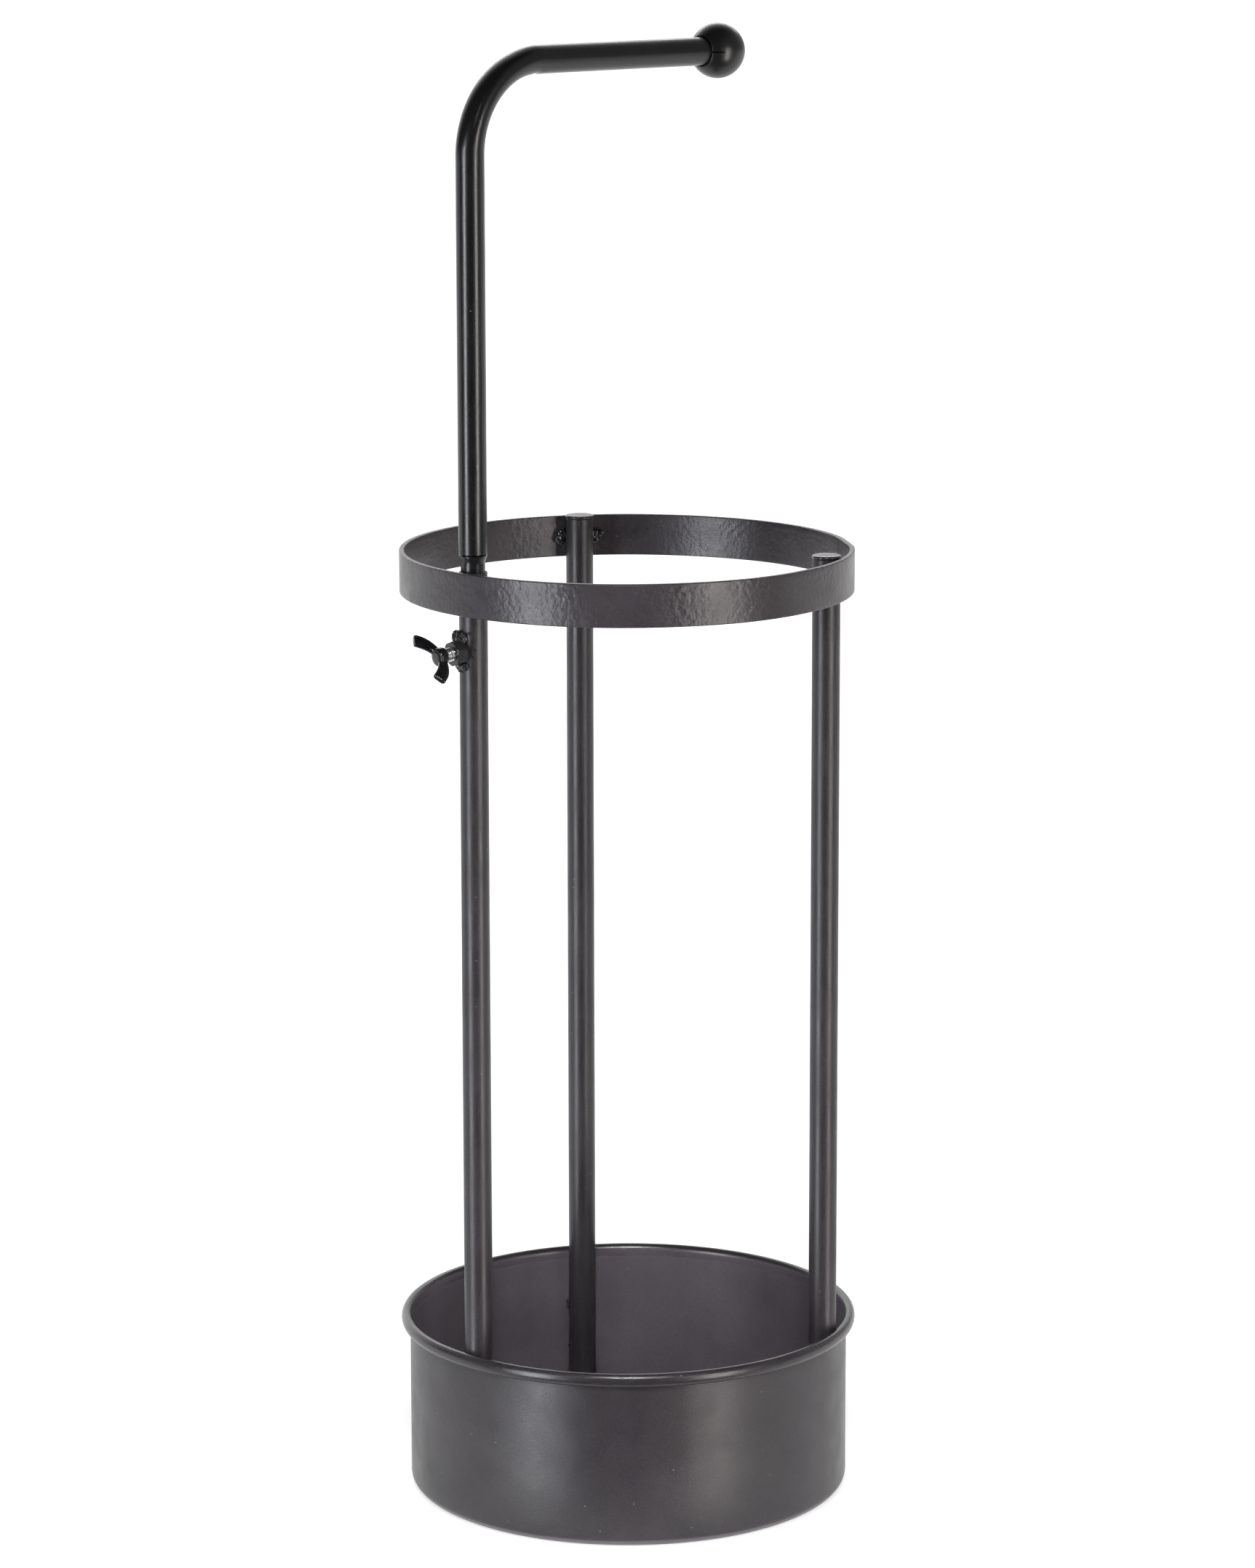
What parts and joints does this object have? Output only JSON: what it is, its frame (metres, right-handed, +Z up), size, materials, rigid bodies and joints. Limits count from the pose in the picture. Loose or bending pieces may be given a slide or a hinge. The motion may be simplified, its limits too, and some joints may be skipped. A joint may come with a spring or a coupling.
{
  "type": "umbrella stand",
  "caption": "Round umbrella stand: deep drip pan, upright tubes, flat-bar hoop and a lift-out cane-shaped carrying handle held in a socket tube by a wing screw.",
  "frame": {"origin": "centre of the drip pan's underside, on the floor", "axes": "+Z up, +X to the right and -Y towards the viewer who has the socket post at front left; the handle's arm points over the hoop's centre"},
  "size_m": [0.266, 0.266, 0.8493],
  "materials": {
    "charcoal_powder_coat": "satin charcoal powder coat with fine grain, orange peel on the hoop",
    "satin_black_paint": "satin black paint, slightly glossier than the frame",
    "matte_black_plastic": "matte black moulded plastic",
    "gloss_black": "gloss black head",
    "zinc_plating": "bright zinc plating"
  },
  "bodies": {
    "root": {"drip_pan": "charcoal_powder_coat", "ring_band": "charcoal_powder_coat", "ring_seam_weld": "charcoal_powder_coat", "socket_post": "charcoal_powder_coat", "rear_post": "charcoal_powder_coat", "right_post": "charcoal_powder_coat", "rear_post_cap": "charcoal_powder_coat", "right_post_cap": "charcoal_powder_coat", "socket_ring_weld_left": "charcoal_powder_coat", "socket_ring_weld_right": "charcoal_powder_coat", "rear_ring_weld_left": "charcoal_powder_coat", "rear_ring_weld_right": "charcoal_powder_coat", "right_ring_weld_left": "charcoal_powder_coat", "right_ring_weld_right": "charcoal_powder_coat", "socket_pan_weld_upper": "charcoal_powder_coat", "socket_pan_weld_lower": "charcoal_powder_coat", "rear_pan_weld_upper": "charcoal_powder_coat", "rear_pan_weld_lower": "charcoal_powder_coat", "right_pan_weld_upper": "charcoal_powder_coat", "right_pan_weld_lower": "charcoal_powder_coat", "weld_nut": "charcoal_powder_coat", "nut_weld_upper": "charcoal_powder_coat", "nut_weld_lower": "charcoal_powder_coat"},
    "handle_lift": {"handle_spigot": "satin_black_paint"},
    "handle": {"handle_tube": "satin_black_paint", "ball_end": "matte_black_plastic"},
    "screw_feed": {"wing_screw_stud": "zinc_plating"},
    "screw_head": {"wing_screw_head": "gloss_black"}
  },
  "joints": [
    {"name": "handle_slide", "type": "slide", "parent": "root", "child": "handle_lift", "axis": [0, 0, 1], "range_m": [-0.004, 0.1]},
    {"name": "handle_swivel", "type": "hinge", "parent": "handle_lift", "child": "handle", "pos_m": [-0.08553, -0.08231, 0.5648], "axis": [0, 0, 1], "continuous": true},
    {"name": "screw_advance", "type": "slide", "parent": "root", "child": "screw_feed", "axis": [-0.7855, -0.6137, -0.0802], "range_m": [0, 0.005]},
    {"name": "screw_turn", "type": "hinge", "parent": "screw_feed", "child": "screw_head", "pos_m": [-0.10171, -0.09495, 0.50945], "axis": [-0.7855, -0.6137, -0.0802], "range_deg": [0, 1440]}
  ],
  "couplings": [
    {"joint": "screw_turn", "follows": "screw_advance", "rad_per_m": 5026.5}
  ]
}
